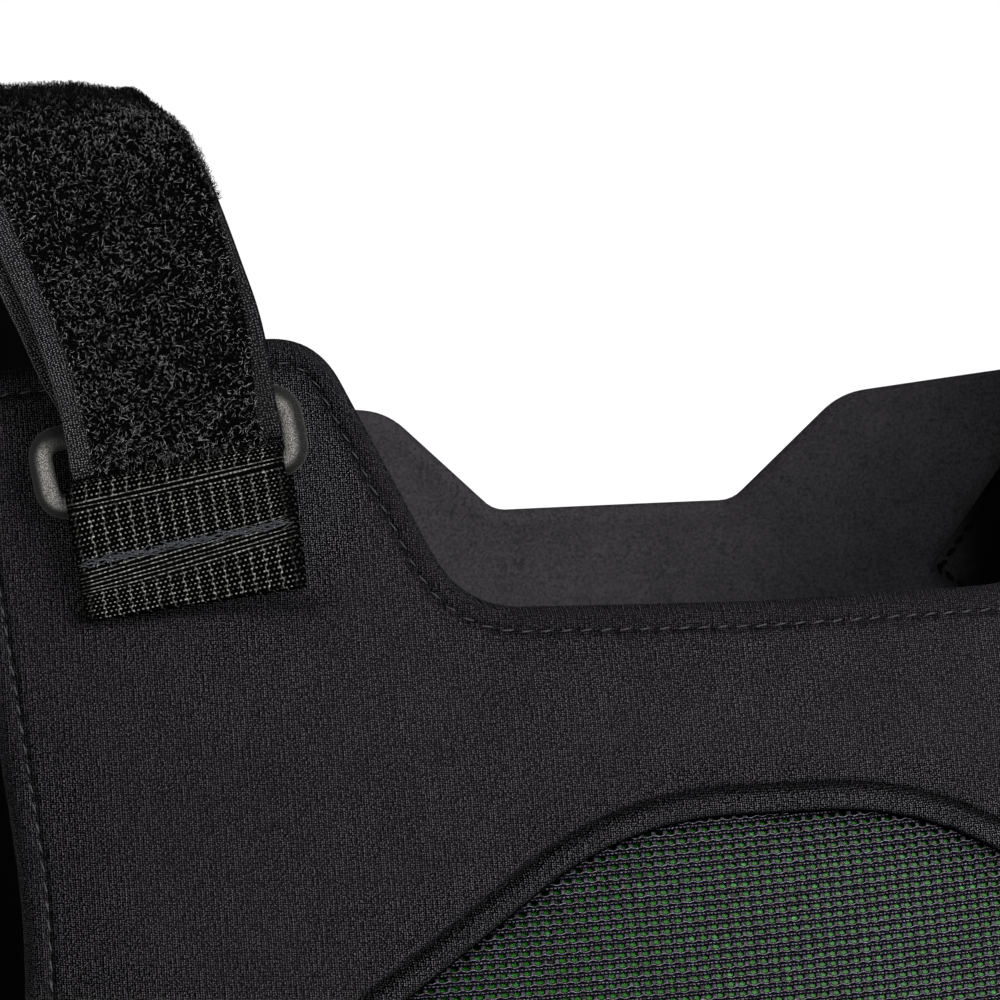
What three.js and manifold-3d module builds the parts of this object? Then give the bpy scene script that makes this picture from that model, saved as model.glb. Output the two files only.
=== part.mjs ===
// A chest guard for sport: a padded front panel with a mesh window over a chest pad, and a padded
// back panel. Hook-and-loop straps join them over the shoulders, and elastic bands round the waist.
// Millimetres, +Z up, the front facing -Y. The origin is midway between the two shoulder straps, at
// the underside of their highest point. Right is the wearer's right, at -X, and left mirrors it.

import * as THREE from "three";
import { mergeVertices } from "three/addons/utils/BufferGeometryUtils.js";
import Module from "manifold-3d";

const wasm = await Module();
wasm.setup();

const { smoothstep, degToRad } = THREE.MathUtils;

// Driving dimensions

const gap = 0.3; // clearance between pieces that touch
const grid = 15; // spacing of the facets on the padded panels
const arcSteps = 5; // facets on each rounded corner of an outline

// The torso inside the guard: how far its front and back stand from the shoulder line, and the
// radius of their curve round the body, at heights below the top of the shoulders.
const torsoSections = [
  { z: 20, front: 44, frontRadius: 330, back: 46, backRadius: 520 },
  { z: -30, front: 58, frontRadius: 330, back: 54, backRadius: 520 },
  { z: -92, front: 77, frontRadius: 280, back: 63, backRadius: 420 },
  { z: -180, front: 104, frontRadius: 210, back: 84, backRadius: 300 },
  { z: -260, front: 116, frontRadius: 190, back: 98, backRadius: 240 },
  { z: -340, front: 110, frontRadius: 190, back: 94, backRadius: 230 },
  { z: -450, front: 100, frontRadius: 190, back: 84, backRadius: 230 },
];

// Half outlines, seen from the front. Each corner is rounded over that length of both its sides.
const frontOutline = [
  { x: 54.4, z: -92.2, round: 11 }, // end of the neckline
  { x: 77.2, z: -40.7, round: 10 }, // inner corner of the shoulder tab
  { x: 144.8, z: -47.4, round: 12 }, // outer corner of the shoulder tab
  { x: 133.5, z: -165, round: 34 }, // armhole
  { x: 148, z: -226, round: 26 }, // ribs
  { x: 134, z: -335, round: 22 }, // waist
  { x: 84, z: -366, round: 24 }, // hem
];
const backOutline = [
  { x: 23.4, z: -83.1, round: 3 }, // bottom of the neck notch
  { x: 45.7, z: -62.6, round: 6 }, // top of the neck notch
  { x: 141, z: -51.6, round: 14 }, // outer corner of the shoulder tab
  { x: 131, z: -165, round: 34 }, // armhole
  { x: 148, z: -236, round: 26 }, // ribs
  { x: 134, z: -388, round: 24 }, // waist
  { x: 78, z: -432, round: 26 }, // hem
];
const windowOutline = [
  { x: 28.8, z: -130, round: 21 },
  { x: 92, z: -177, round: 18 },
  { x: 92, z: -262, round: 20 },
  { x: 56, z: -322, round: 18 },
];
// The patch on the inside of the back panel that a shoulder strap is sewn to.
const anchorOutline = [
  { x: -64.7, z: -97.3, round: 3 },
  { x: -85.5, z: -66, round: 6 },
  { x: -131, z: -60.5, round: 6 },
  { x: -128, z: -120, round: 6 },
  { x: -90, z: -120, round: 6 },
];

const padding = { thickness: 9, edgeThickness: 5, edgeWidth: 15 };
const rim = { width: 4.2, height: 1.2 }; // raised edge round the window
const pocket = { depth: 6, meshInset: 0.6, meshThickness: 0.8 };
const anchorThickness = 1.2;

const ring = { x: -105.1, z: -62.2, tilt: 9.8, width: 52.4, height: 17.4, bar: 4.6, depth: 4.2, round: 6.5 };
const tab = { width: 40.4, thickness: 1.6, lowEnd: { x: -103, z: -89.5 } };
const strap = { width: 40.8, thickness: 2.4, layerGap: 1, joinedFrom: 0.22, freeEnd: 0.66, underDrift: 3.2, inSlot: 0.6 };
// The line midway between the strap's two layers, on from the ring. Yaw turns the strap's width.
const strapArch = [
  { x: -109.3, y: -56, z: -38, yaw: -17 },
  { x: -116.2, y: -50.5, z: -16, yaw: -13 },
  { x: -123, y: -34, z: -2.5, yaw: -6 },
  { x: -125.2, y: -4, z: 2.55, yaw: 0 },
  { x: -123, y: 22, z: -3.5, yaw: 5 },
  { x: -118.5, y: 36.5, z: -22, yaw: 9 },
];
const strapSewnEnd = { x: -112, z: -94, yaw: 13 };
const strapHornTop = { x: -114, z: -54, yaw: 12 };

const sideBand = { width: 50, thickness: 2.2, z: -285, frontX: -94, backX: -98, bulgeX: -171, clearance: 0.7 };

// Surfaces of the torso

// One measure of the torso at a height, eased through the sections.
function torso(measure, z) {
  const rows = torsoSections;
  const last = rows.length - 1;
  const found = rows.findIndex((row) => row.z <= z);
  const i = Math.min(Math.max(found < 0 ? last : found, 1), last) - 1;
  const slope = (k) => {
    const above = rows[Math.max(k - 1, 0)];
    const below = rows[Math.min(k + 1, last)];
    return (below[measure] - above[measure]) / (below.z - above.z);
  };
  const [a, b] = [rows[i], rows[i + 1]];
  const span = b.z - a.z;
  const t = (z - a.z) / span;
  return (
    a[measure] * (1 + 2 * t) * (1 - t) ** 2 +
    slope(i) * span * t * (1 - t) ** 2 +
    b[measure] * t * t * (3 - 2 * t) +
    slope(i + 1) * span * t * t * (t - 1)
  );
}

const frontFace = (x, z) => (x * x) / (2 * torso("frontRadius", z)) - torso("front", z);
const backFace = (x, z) => torso("back", z) - (x * x) / (2 * torso("backRadius", z));

function slopes(face, x, z) {
  return { x: (face(x + 1, z) - face(x - 1, z)) / 2, z: (face(x, z + 1) - face(x, z - 1)) / 2 };
}

// The face moved along its own normal, towards +Y where the distance is positive.
function offsetFace(face, distanceAt) {
  return (x, z) => {
    const slope = slopes(face, x, z);
    return face(x, z) + distanceAt(x, z) * Math.hypot(1, slope.x, slope.z);
  };
}

const layer = (face, distance) => offsetFace(face, () => distance);

// A point at a distance from a face along its normal, towards -Y where the distance is positive.
function pointOff(face, x, z, distance) {
  const slope = slopes(face, x, z);
  const normal = new THREE.Vector3(slope.x, -1, slope.z).normalize();
  return new THREE.Vector3(x, face(x, z), z).addScaledVector(normal, distance);
}

// Outlines

const mirrored = (half) => [...half, ...half.map((c) => ({ ...c, x: -c.x })).reverse()];

// A clockwise outline with every side moved outwards by a distance.
function grown(corners, by) {
  const normal = (a, b) => new THREE.Vector2(a.z - b.z, b.x - a.x).normalize();
  return corners.map((corner, i) => {
    const before = normal(corners.at(i - 1), corner);
    const after = normal(corner, corners[(i + 1) % corners.length]);
    const move = before.clone().add(after).multiplyScalar(by / (1 + before.dot(after)));
    return { x: corner.x + move.x, z: corner.z + move.y, round: corner.round };
  });
}

function roundedShape(corners) {
  const shape = new THREE.Shape();
  corners.forEach((corner, i) => {
    const at = new THREE.Vector2(corner.x, corner.z);
    const towards = (other) =>
      new THREE.Vector2(other.x, other.z).sub(at).setLength(corner.round).add(at);
    const start = towards(corners.at(i - 1));
    const end = towards(corners[(i + 1) % corners.length]);
    if (i === 0) shape.moveTo(start.x, start.y);
    else shape.lineTo(start.x, start.y);
    shape.quadraticCurveTo(at.x, at.y, end.x, end.y);
  });
  shape.closePath();
  return shape;
}

// Distance of a point inside an outline from its edge, and 0 for a point outside.
function insideDistance(points, x, z) {
  let inside = false;
  let nearest = Infinity;
  points.forEach((a, i) => {
    const b = points[(i + 1) % points.length];
    if (a.y > z !== b.y > z && x < a.x + ((z - a.y) / (b.y - a.y)) * (b.x - a.x)) inside = !inside;
    const side = b.clone().sub(a);
    const along = new THREE.Vector2(x, z).sub(a).dot(side) / Math.max(side.lengthSq(), 1e-9);
    const foot = a.clone().addScaledVector(side, THREE.MathUtils.clamp(along, 0, 1));
    nearest = Math.min(nearest, Math.hypot(x - foot.x, z - foot.y));
  });
  return inside ? nearest : 0;
}

// Solids

function solidOf(geometry) {
  const bare = new THREE.BufferGeometry()
    .setAttribute("position", geometry.getAttribute("position"))
    .setIndex(geometry.index);
  const merged = mergeVertices(bare);
  return new wasm.Manifold(
    new wasm.Mesh({
      numProp: 3,
      vertProperties: new Float32Array(merged.getAttribute("position").array),
      triVerts: new Uint32Array(merged.index.array),
    }),
  );
}

function geometryOf(solid) {
  const mesh = solid.getMesh();
  return new THREE.BufferGeometry()
    .setAttribute("position", new THREE.BufferAttribute(mesh.vertProperties, 3))
    .setIndex(new THREE.BufferAttribute(mesh.triVerts, 1));
}

function indexedGeometry(positions, index) {
  return new THREE.BufferGeometry()
    .setAttribute("position", new THREE.Float32BufferAttribute(positions, 3))
    .setIndex(index);
}

// An outline in X and Z, as a solid that reaches through the whole object along Y.
function prism(corners) {
  const reach = 300;
  const options = { depth: 2 * reach, bevelEnabled: false, curveSegments: arcSteps };
  const geometry = new THREE.ExtrudeGeometry(roundedShape(corners), options);
  return solidOf(geometry.rotateX(Math.PI / 2).translate(0, reach, 0));
}

// A slab between two faces, over the facet grid that covers an outline.
function slab(near, far, corners) {
  const range = (values) => [Math.floor(Math.min(...values) / grid), Math.ceil(Math.max(...values) / grid)];
  const [left, right] = range(corners.map((c) => c.x));
  const [low, high] = range(corners.map((c) => c.z));
  const columns = right - left + 1;
  const rows = high - low + 1;
  const positions = [];
  for (const face of [near, far]) {
    for (let j = low; j <= high; j++) {
      for (let i = left; i <= right; i++) positions.push(i * grid, face(i * grid, j * grid), j * grid);
    }
  }
  const at = (i, j, side) => side * columns * rows + j * columns + i;
  const index = [];
  const quad = (a, b, c, d) => index.push(a, b, c, a, c, d);
  for (let j = 0; j + 1 < rows; j++) {
    for (let i = 0; i + 1 < columns; i++) {
      quad(at(i, j, 0), at(i + 1, j, 0), at(i + 1, j + 1, 0), at(i, j + 1, 0));
      quad(at(i, j, 1), at(i, j + 1, 1), at(i + 1, j + 1, 1), at(i + 1, j, 1));
    }
    quad(at(0, j, 0), at(0, j + 1, 0), at(0, j + 1, 1), at(0, j, 1));
    quad(at(columns - 1, j, 0), at(columns - 1, j, 1), at(columns - 1, j + 1, 1), at(columns - 1, j + 1, 0));
  }
  for (let i = 0; i + 1 < columns; i++) {
    quad(at(i, 0, 0), at(i, 0, 1), at(i + 1, 0, 1), at(i + 1, 0, 0));
    quad(at(i, rows - 1, 0), at(i + 1, rows - 1, 0), at(i + 1, rows - 1, 1), at(i, rows - 1, 1));
  }
  return solidOf(indexedGeometry(positions, index));
}

const sheet = (near, far, corners) => slab(near, far, corners).intersect(prism(corners));

// A padded panel: full thickness inside, drawn in on both faces to a thinner sewn edge.
function paddedPanel(face, corners) {
  const edge = roundedShape(corners).getPoints(arcSteps);
  const drop = (padding.thickness - padding.edgeThickness) / 2;
  const drawnIn = (x, z) => drop * (1 - smoothstep(insideDistance(edge, x, z), 0, padding.edgeWidth));
  const near = offsetFace(face, drawnIn);
  const far = offsetFace(face, (x, z) => padding.thickness - drawnIn(x, z));
  return sheet(near, far, corners);
}

// A flat band through stations, each with a centre and the direction across the band.
function band(stations, width, thickness) {
  const positions = [];
  stations.forEach(({ centre, across }, i) => {
    const ahead = stations[Math.min(i + 1, stations.length - 1)].centre;
    const behind = stations[Math.max(i - 1, 0)].centre;
    const along = ahead.clone().sub(behind).normalize();
    const level = across.clone().addScaledVector(along, -across.dot(along)).normalize();
    const out = along.clone().cross(level);
    for (const [w, t] of [[-1, -1], [1, -1], [1, 1], [-1, 1]]) {
      const corner = centre.clone().addScaledVector(level, (w * width) / 2);
      positions.push(...corner.addScaledVector(out, (t * thickness) / 2));
    }
  });
  const index = [];
  const quad = (a, b, c, d) => index.push(a, b, c, a, c, d);
  for (let i = 0; i + 1 < stations.length; i++) {
    for (let k = 0; k < 4; k++) {
      const next = (k + 1) % 4;
      quad(4 * i + k, 4 * i + next, 4 * i + 4 + next, 4 * i + 4 + k);
    }
  }
  const end = positions.length / 3 - 4;
  quad(3, 2, 1, 0);
  quad(end, end + 1, end + 2, end + 3);
  return indexedGeometry(positions, index);
}

// Panels, window and pad

const frontCorners = mirrored(frontOutline);
const windowCorners = mirrored(windowOutline);

function frontPanel() {
  const raised = grown(windowCorners, rim.width);
  const rimBand = sheet(layer(frontFace, -rim.height), layer(frontFace, 1), raised);
  const pocketSpace = sheet(layer(frontFace, -2 * rim.height), layer(frontFace, pocket.depth), windowCorners);
  return geometryOf(paddedPanel(frontFace, frontCorners).add(rimBand).subtract(pocketSpace));
}

// A layer inside the window's pocket, between two depths below the panel's face.
function pocketLayer(from, to) {
  return geometryOf(sheet(layer(frontFace, from), layer(frontFace, to), grown(windowCorners, -gap)));
}

const meshBack = pocket.meshInset + pocket.meshThickness;

function anchorPatch() {
  const clockwise = [...anchorOutline].reverse();
  return geometryOf(sheet(layer(backFace, -gap - anchorThickness), layer(backFace, -gap), clockwise));
}

// Ring, tab and shoulder strap of the right shoulder

// The ring stands upright, facing as the shoulder tab does, and tilts inner end up.
function ringFrame() {
  const lowBarZ = ring.z - (ring.height - ring.bar) / 2;
  const yaw = Math.atan(slopes(frontFace, ring.x, ring.z).x);
  const level = new THREE.Vector3(Math.cos(yaw), Math.sin(yaw), 0);
  const out = new THREE.Vector3(Math.sin(yaw), -Math.cos(yaw), 0);
  const tilt = degToRad(ring.tilt);
  const across = level.clone().applyAxisAngle(out, tilt);
  const up = out.clone().cross(across);
  const barGap = (ring.height - ring.bar) / 2;
  const standOff = 2 * gap + tab.thickness + ring.depth / 2 + gap;
  const lowBar = pointOff(frontFace, ring.x + barGap * Math.sin(tilt), lowBarZ, standOff);
  const centre = lowBar.clone().addScaledVector(up, barGap);
  const highBar = centre.clone().addScaledVector(up, barGap);
  return { across, up, out, centre, lowBar, highBar };
}

const hold = ringFrame();

// A rounded bar, bent into a closed rounded rectangle.
function ringGeometry() {
  const [x, z] = [(ring.width - ring.bar) / 2, (ring.height - ring.bar) / 2];
  const round = ring.round - ring.bar / 2;
  const corners = [{ x, z, round }, { x, z: -z, round }, { x: -x, z: -z, round }, { x: -x, z, round }];
  const path = roundedShape(corners).getPoints(arcSteps).slice(0, -1);
  const sides = 8;
  const positions = [];
  const index = [];
  path.forEach((point, i) => {
    const along = path[(i + 1) % path.length].clone().sub(path.at(i - 1)).normalize();
    for (let k = 0; k < sides; k++) {
      const angle = (2 * Math.PI * (k + 0.5)) / sides;
      const inPlane = (ring.bar / 2) * Math.cos(angle);
      const height = (ring.depth / 2) * Math.sin(angle);
      positions.push(point.x - along.y * inPlane, point.y + along.x * inPlane, height);
      const [next, turn] = [((i + 1) % path.length) * sides, (k + 1) % sides];
      const [a, b, c, d] = [i * sides + k, i * sides + turn, next + turn, next + k];
      index.push(a, b, c, a, c, d);
    }
  });
  return indexedGeometry(positions, index);
}

// Stations half way round a bar of the ring, from behind it to its front.
function roundBar(bar, thickness, side) {
  const radius = ring.depth / 2 + 2 * gap + thickness / 2;
  const steps = 8;
  return Array.from({ length: steps + 1 }, (_, i) => {
    const angle = (Math.PI * i) / steps;
    const centre = bar
      .clone()
      .addScaledVector(hold.out, -radius * Math.cos(angle))
      .addScaledVector(hold.up, side * radius * Math.sin(angle));
    return { centre, across: hold.across };
  });
}

// Webbing folded over the ring's lower bar, both ends lying on the panel.
function tabGeometry() {
  const { width, thickness, lowEnd } = tab;
  const across = new THREE.Vector3(1, slopes(frontFace, lowEnd.x, lowEnd.z).x, 0);
  const end = (distance) => ({ centre: pointOff(frontFace, lowEnd.x, lowEnd.z, distance), across });
  const behind = 2 * gap + thickness / 2;
  const stations = [end(behind), ...roundBar(hold.lowBar, thickness, 1), end(behind + thickness + gap)];
  return band(stations, width, thickness);
}

// A hook-and-loop strap: from the back panel over the shoulder, round the ring's upper bar, and back
// over itself to a free end behind the shoulder.
function strapGeometry() {
  const onAnchor = gap + anchorThickness + gap + strap.thickness + strap.layerGap / 2;
  const backEnd = ({ x, z, yaw }) => {
    const { y } = pointOff(backFace, x, z, onAnchor);
    return { x, y, z, yaw };
  };
  const ringYaw = THREE.MathUtils.radToDeg(Math.atan2(hold.across.y, hold.across.x));
  const bar = hold.highBar.clone().addScaledVector(hold.across, strap.inSlot);
  const rows = [
    { x: bar.x, y: bar.y, z: bar.z, yaw: ringYaw },
    ...strapArch,
    backEnd(strapHornTop),
    backEnd(strapSewnEnd),
  ];
  const arch = new THREE.CatmullRomCurve3(rows.map(({ x, y, z }) => new THREE.Vector3(x, y, z)));
  const half = (strap.thickness + strap.layerGap) / 2;
  const ringHalf = ring.depth / 2 + 2 * gap + strap.thickness / 2;
  const station = (u, side) => {
    const place = u * (rows.length - 1);
    const i = Math.min(Math.floor(place), rows.length - 2);
    const yaw = degToRad(THREE.MathUtils.lerp(rows[i].yaw, rows[i + 1].yaw, place - i));
    const along = arch.getTangent(u);
    const across = new THREE.Vector3(Math.cos(yaw), Math.sin(yaw), 0);
    across.addScaledVector(along, -across.dot(along)).normalize();
    const out = across.clone().cross(along);
    const spread = THREE.MathUtils.lerp(ringHalf, half, smoothstep(u, 0, strap.joinedFrom));
    const drift = side < 0 ? strap.underDrift * smoothstep(u, 0, 0.15) * (1 - smoothstep(u, 0.4, 0.7)) : 0;
    const centre = arch.getPoint(u).addScaledVector(out, side * spread).addScaledVector(across, -drift);
    return { centre, across };
  };
  const steps = 40;
  const stations = [];
  for (let i = steps; i > 0; i--) stations.push(station(i / steps, -1));
  stations.push(...roundBar(bar, strap.thickness, -1));
  for (let i = 1; i / steps <= strap.freeEnd; i++) stations.push(station(i / steps, 1));
  return band(stations, strap.width, strap.thickness);
}

// Waist band of the right side

// An elastic band from the outside of the front panel, round the waist, to that of the back panel.
function sideBandGeometry() {
  const { z, width, thickness, frontX, backX, bulgeX, clearance } = sideBand;
  const proud = clearance + thickness / 2;
  const backOuter = layer(backFace, padding.thickness + proud);
  const edgeX = -148;
  const overlap = 4;
  const points = [];
  for (let i = 0; i <= overlap; i++) {
    const x = THREE.MathUtils.lerp(frontX, edgeX, i / overlap);
    points.push(pointOff(frontFace, x, z, proud));
  }
  points.push(new THREE.Vector3(bulgeX, 0, z));
  for (let i = overlap; i >= 0; i--) {
    const x = THREE.MathUtils.lerp(backX, edgeX, i / overlap);
    points.push(new THREE.Vector3(x, backOuter(x, z), z));
  }
  const path = new THREE.CatmullRomCurve3(points);
  const stations = path.getPoints(36).map((centre) => {
    const leans = [frontFace, backOuter].map((face) => slopes(face, centre.x, z).z);
    const lean = THREE.MathUtils.lerp(...leans, smoothstep(centre.y, -50, 50));
    return { centre, across: new THREE.Vector3(0, lean, 1) };
  });
  return band(stations, width, thickness);
}

// The assembly

const fabric = (color, roughness) => new THREE.MeshStandardMaterial({ color, roughness, metalness: 0 });
const knit = fabric(0x242326, 0.92);
const lining = fabric(0x2b2a2d, 0.96);
const pile = fabric(0x1c1c1e, 1);
const webbing = fabric(0x1a1a1a, 0.8);
const elastic = fabric(0x202022, 0.88);
const netting = fabric(0x4c535c, 0.85);
const foam = fabric(0x2f6b33, 0.75);
const plastic = fabric(0x4a4a4a, 0.55);

function piece(name, geometry, material) {
  const mesh = new THREE.Mesh(geometry, material);
  mesh.name = name;
  return mesh;
}

function shoulderAndSide(side) {
  const group = new THREE.Group();
  const ringMesh = piece(`strap_ring_${side}`, ringGeometry(), plastic);
  const basis = new THREE.Matrix4().makeBasis(hold.across, hold.up, hold.out);
  ringMesh.quaternion.setFromRotationMatrix(basis);
  ringMesh.position.copy(hold.centre);
  group.add(
    ringMesh,
    piece(`ring_tab_${side}`, tabGeometry(), webbing),
    piece(`shoulder_strap_${side}`, strapGeometry(), pile),
    piece(`strap_anchor_${side}`, anchorPatch(), lining),
    piece(`side_band_${side}`, sideBandGeometry(), elastic),
  );
  if (side === "left") group.scale.x = -1;
  return group;
}

const chestGuard = new THREE.Group();
chestGuard.add(
  piece("front_panel", frontPanel(), knit),
  piece("window_mesh", pocketLayer(pocket.meshInset, meshBack), netting),
  piece("chest_pad", pocketLayer(meshBack + gap, pocket.depth - gap), foam),
  piece("back_panel", geometryOf(paddedPanel(backFace, mirrored(backOutline))), knit),
  shoulderAndSide("right"),
  shoulderAndSide("left"),
);

export default chestGuard;
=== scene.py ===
# Chest guard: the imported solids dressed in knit, mesh, loop pile, webbing and thread.
from math import atan, atan2, cos, degrees, pi, radians, sin, sqrt

import bpy
import numpy as np
from mathutils import Matrix, Vector
from mathutils.geometry import delaunay_2d_cdt
from mathutils.kdtree import KDTree
from numpy.linalg import norm


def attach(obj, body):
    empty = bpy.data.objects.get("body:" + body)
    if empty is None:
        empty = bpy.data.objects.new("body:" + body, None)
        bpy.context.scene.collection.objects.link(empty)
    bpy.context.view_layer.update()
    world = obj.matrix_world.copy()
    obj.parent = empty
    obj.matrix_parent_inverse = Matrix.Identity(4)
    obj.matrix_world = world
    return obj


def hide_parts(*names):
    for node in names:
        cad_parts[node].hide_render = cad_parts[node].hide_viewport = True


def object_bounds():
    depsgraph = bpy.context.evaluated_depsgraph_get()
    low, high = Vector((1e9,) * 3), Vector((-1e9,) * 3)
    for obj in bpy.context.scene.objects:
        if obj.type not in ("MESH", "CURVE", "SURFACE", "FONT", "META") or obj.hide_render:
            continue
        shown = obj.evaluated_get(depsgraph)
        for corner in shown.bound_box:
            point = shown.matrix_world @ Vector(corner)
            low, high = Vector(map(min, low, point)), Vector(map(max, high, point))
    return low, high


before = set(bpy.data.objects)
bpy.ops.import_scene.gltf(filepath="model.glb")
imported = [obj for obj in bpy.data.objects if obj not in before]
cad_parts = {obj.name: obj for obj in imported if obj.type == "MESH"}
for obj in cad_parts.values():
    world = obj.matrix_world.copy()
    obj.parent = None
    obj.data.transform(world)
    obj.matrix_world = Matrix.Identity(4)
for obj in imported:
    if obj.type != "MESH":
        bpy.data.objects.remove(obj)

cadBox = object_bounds()
scene = bpy.context.scene
mm = 0.001
bpy.ops.object.select_all(action="DESELECT")


# a piece's dictionary of settings, with its entries read as s.name
class Settings(dict):
    __getattr__ = dict.__getitem__


# camera at the photo's angle, aimed by the middle of the neckline
cameraSet = Settings(
    azimuth=-10.1, elevation=4.0, roll=1.8, distance=1.5, lens=293.1, sensor=36.0,
    aim=(0, -0.077, -0.092), aimPixel=(762, 601), frame=1000,
)


def placeCamera(s):
    azimuth, elevation, roll = (radians(s[k]) for k in ("azimuth", "elevation", "roll"))
    flat = cos(elevation)
    back = Vector((sin(azimuth) * flat, -cos(azimuth) * flat, sin(elevation)))
    level = Vector((cos(azimuth), sin(azimuth), 0))
    upright = back.cross(level)
    right = cos(roll) * level - sin(roll) * upright
    up = sin(roll) * level + cos(roll) * upright
    pixel = s.distance * s.sensor / (s.lens * s.frame)  # one pixel's width at the aim
    across, down = ((p - s.frame / 2) * pixel for p in s.aimPixel)
    bpy.ops.object.camera_add()
    camera = bpy.context.object
    camera.data.lens = s.lens
    camera.data.sensor_width = s.sensor
    camera.matrix_world = Matrix((right, up, back)).transposed().to_4x4()
    camera.location = Vector(s.aim) + s.distance * back - across * right + down * up
    scene.camera = camera


placeCamera(cameraSet)

lightSet = {
    "key": Settings(at=(0.9, -2.1, 0.95), size=1.2, watts=290),
    "fill": Settings(at=(-1.7, -1.7, 0.3), size=1.6, watts=8),
    "top": Settings(at=(0.1, 0.6, 1.9), size=1.6, watts=6),
    "back": Settings(at=(-0.8, 2.1, 0.0), size=1.2, watts=150),
}
roomSet = Settings(world=1.1, middle=(0, 0, -0.15), floorDrop=0.003, floorSize=160.0)


def lightRoom(lights, room):
    for name, s in lights.items():
        bpy.ops.object.light_add(type="AREA", location=s.at)
        lamp = bpy.context.object
        lamp.name = "light_" + name
        lamp.data.size = s.size
        lamp.data.energy = s.watts
        lamp.rotation_euler = (Vector(s.at) - Vector(room.middle)).to_track_quat("Z", "Y").to_euler()
        lamp.visible_camera = False
    scene.world = bpy.data.worlds.new("studio")
    scene.world.use_nodes = True
    background = scene.world.node_tree.nodes["Background"]
    background.inputs["Color"].default_value = (1, 1, 1, 1)
    background.inputs["Strength"].default_value = room.world
    scene.view_settings.view_transform = "Standard"


lightRoom(lightSet, roomSet)
print("camera and lights placed")


# one wire of a node tree: sums on wires add Math nodes, add() makes any other node
class Wire:
    def __init__(self, tree, socket=None):
        self.tree = tree
        self.socket = socket

    def add(self, kind, settings={}, inputs={}, out=0):
        node = self.tree.nodes.new("ShaderNode" + kind)
        for key, value in settings.items():
            setattr(node, key, value)
        for key, value in inputs.items():
            if isinstance(value, Wire):
                self.tree.links.new(value.socket, node.inputs[key])
            else:
                node.inputs[key].default_value = value
        return Wire(self.tree, node.outputs[out])

    def outs(self, *names):
        return [Wire(self.tree, self.socket.node.outputs[name]) for name in names]

    def axes(self):
        return self.add("SeparateXYZ", {}, {"Vector": self}).outs("X", "Y", "Z")

    def math(self, operation, *values):
        return self.add("Math", {"operation": operation}, dict(enumerate(values)))

    def __rsub__(self, other):
        return self.math("SUBTRACT", other, self)

    def wave(self):  # 0 to 1 and back over each whole number
        return self.math("COSINE", self * (2 * pi)) * -0.5 + 0.5

    def step(self, low, high):  # smooth 0 to 1 between two values
        settings = {"interpolation_type": "SMOOTHSTEP"}
        return self.add("MapRange", settings, {"Value": self, "From Min": low, "From Max": high})


# the Math node that each plain sum makes
wireSums = {
    "__add__": "ADD", "__radd__": "ADD", "__sub__": "SUBTRACT", "__mul__": "MULTIPLY",
    "__rmul__": "MULTIPLY", "__truediv__": "DIVIDE", "above": "MAXIMUM", "fraction": "FRACT",
    "floor": "FLOOR", "size": "ABSOLUTE",
}
for word, operation in wireSums.items():
    setattr(Wire, word, lambda *values, operation=operation: values[0].math(operation, *values))


def blend(factor, first, second):
    first, second = (v if isinstance(v, Wire) else (*v, 1) for v in (first, second))
    return factor.add("Mix", {"data_type": "RGBA"}, {0: factor, 6: first, 7: second}, out=2)


def objectMm(start):
    return [axis * 1000 for axis in start.add("TexCoord", out="Object").axes()]


def stripMm(start, width, length):
    across, along, _ = start.add("TexCoord", out="UV").axes()
    return across * width, along * length


def stored(start, name, out="Fac"):
    return start.add("Attribute", {"attribute_name": name}, out=out)


def vector(x, y, z):
    source = next(value for value in (x, y, z) if isinstance(value, Wire))
    return source.add("CombineXYZ", {}, {"X": x, "Y": y, "Z": z})


def speckle(place, scale, detail=2.0, rough=0.6):
    given = {"Vector": place, "Scale": scale, "Detail": detail, "Roughness": rough}
    return place.add("TexNoise", {}, given)


def makeMaterial(name, recipe, *given, bump=0.0, depth=0.0002, gloss=0.0):
    # a recipe gives colour and roughness, and where it has them height and alpha
    material = bpy.data.materials.new(name)
    material.use_nodes = True
    tree = material.node_tree
    shader = tree.nodes["Principled BSDF"]
    shader.inputs["Specular IOR Level"].default_value = gloss
    start = Wire(tree)
    for key, wire in zip(("Base Color", "Roughness", "Normal", "Alpha"), recipe(start, *given)):
        if key == "Normal":
            relief = {"Strength": bump, "Distance": depth, "Height": wire}
            wire = start.add("Bump", {}, relief, out="Normal")
        tree.links.new(wire.socket, shader.inputs[key])
    return material


knitSet = Settings(
    across=0.43, up=0.39, jitter=0.45, dark=(0.0004, 0.0004, 0.0005), light=(0.067, 0.064, 0.068)
)


def dottedLoops(start, u, v, jitter):
    # one bright loop in each cell of a loose grid, some brighter than others
    given = {"Vector": vector(u, v, 0.0), "Scale": 1.0, "Randomness": jitter}
    cells = start.add("TexVoronoi", {"voronoi_dimensions": "2D"}, given)
    chance = start.add("SeparateColor", {}, {"Color": cells.outs("Color")[0]}, out="Red")
    return cells.step(0.35, 0.0) * (0.3 + 0.75 * chance)


def knitRecipe(start):
    # pepper-like loops in faint upright wales, nearly black where painted shade lies in the seams, the
    # window's rim and under the tabs
    s = knitSet
    weave = stored(start, "weave", "Vector")
    across, up, _ = weave.axes()
    loop = dottedLoops(start, across / s.across, up / s.up, s.jitter)
    wale = (across / (2.4 * s.across)).wave()
    cloud = speckle(weave, 0.06)
    # the painted shade stored on the panel darkens the loops
    tone = loop * (0.7 + 0.6 * wale) * (0.8 + 0.4 * cloud) * (1 - 0.93 * stored(start, "crease"))
    return blend(tone, s.dark, s.light), 0.95 - 0.1 * wale, loop * 0.6 + 0.4 * wale


# shade is painted shade laid over the lining towards the arms; panel and patch are the spans of |x|, in mm,
# where it comes in
liningSet = Settings(
    dark=(0.0036, 0.0034, 0.0038), light=(0.0146, 0.0137, 0.0152), shade=(0.0006, 0.0006, 0.0007),
    panel=(62.0, 125.0), patch=(60.0, 75.0),
)


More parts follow.
